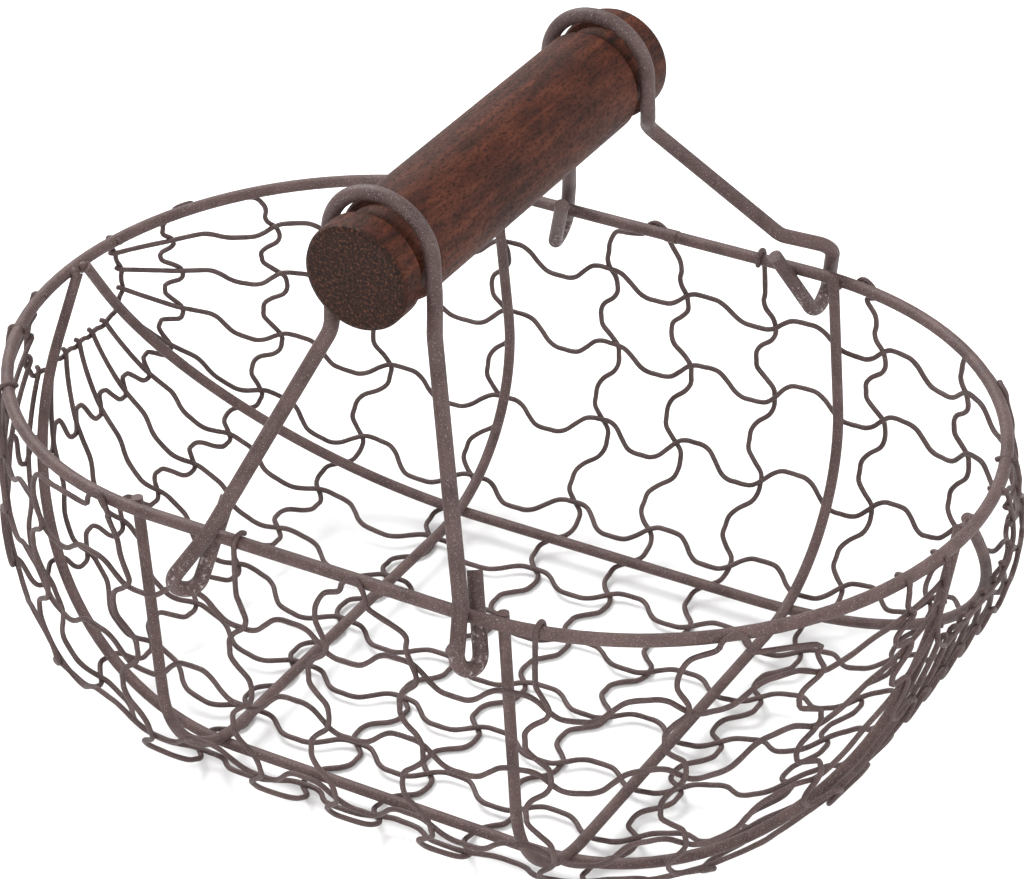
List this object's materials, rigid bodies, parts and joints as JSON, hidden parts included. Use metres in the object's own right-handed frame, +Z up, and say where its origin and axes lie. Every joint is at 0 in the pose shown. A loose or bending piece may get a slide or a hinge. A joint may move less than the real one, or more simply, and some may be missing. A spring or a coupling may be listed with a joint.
{
  "type": "wire egg basket",
  "caption": "Oval wire basket for collecting eggs, with crimped wire netting on a rib frame and a wooden grip carried by two hooked bail wires",
  "frame": {"origin": "under the middle of the basket, on the plane it stands on", "axes": "X along the basket's length, Y across it along the grip with +Y the back, Z up"},
  "size_m": [0.2849, 0.2105, 0.1852],
  "materials": {
    "frame_wire": "matte brown-grey with fine light speckle",
    "bail_wire": "matte brown-grey with fine light speckle, worn bright inside the hooks",
    "netting_wire": "matte brown-grey",
    "grip_wood": "red-brown stained, satin, with fine dark grain"
  },
  "bodies": {
    "basket": {"rim": "frame_wire", "rib_left": "frame_wire", "rib_right": "frame_wire", "rib_front": "frame_wire", "rib_back": "frame_wire", "hoop_1": "netting_wire", "hoop_2": "netting_wire", "hoop_3": "netting_wire", "hoop_4": "netting_wire", "hoop_5": "netting_wire", "hoop_6": "netting_wire", "hoop_7": "netting_wire", "hoop_8": "netting_wire", "hoop_9": "netting_wire", "hoop_10": "netting_wire", "hoop_11": "netting_wire", "strand_1": "netting_wire", "strand_2": "netting_wire", "strand_3": "netting_wire", "strand_4": "netting_wire", "strand_5": "netting_wire", "strand_6": "netting_wire", "strand_7": "netting_wire", "strand_8": "netting_wire", "strand_9": "netting_wire", "strand_10": "netting_wire", "strand_11": "netting_wire", "strand_12": "netting_wire", "strand_13": "netting_wire", "hoop_12": "netting_wire", "hoop_13": "netting_wire"},
    "front_bail": {"bail_front": "bail_wire"},
    "back_bail": {"bail_back": "bail_wire"},
    "handle": {"grip": "grip_wood"}
  },
  "joints": [
    {"name": "front_bail_sway", "type": "hinge", "parent": "basket", "child": "front_bail", "pos_m": [0, -0.0932, 0.09615], "axis": [1, 0, 0], "range_deg": [-5, 5]},
    {"name": "back_bail_sway", "type": "hinge", "parent": "basket", "child": "back_bail", "pos_m": [0, 0.0932, 0.09615], "axis": [1, 0, 0], "range_deg": [-5, 5]},
    {"name": "grip_tilt", "type": "hinge", "parent": "front_bail", "child": "handle", "pos_m": [0.0023, -0.0543, 0.1654], "axis": [1, 0, 0], "range_deg": [-8.6, 8.6]}
  ],
  "couplings": [
    {"joint": "back_bail_sway", "follows": "front_bail_sway", "ratio": 1},
    {"joint": "grip_tilt", "follows": "front_bail_sway", "ratio": -1.7164}
  ]
}
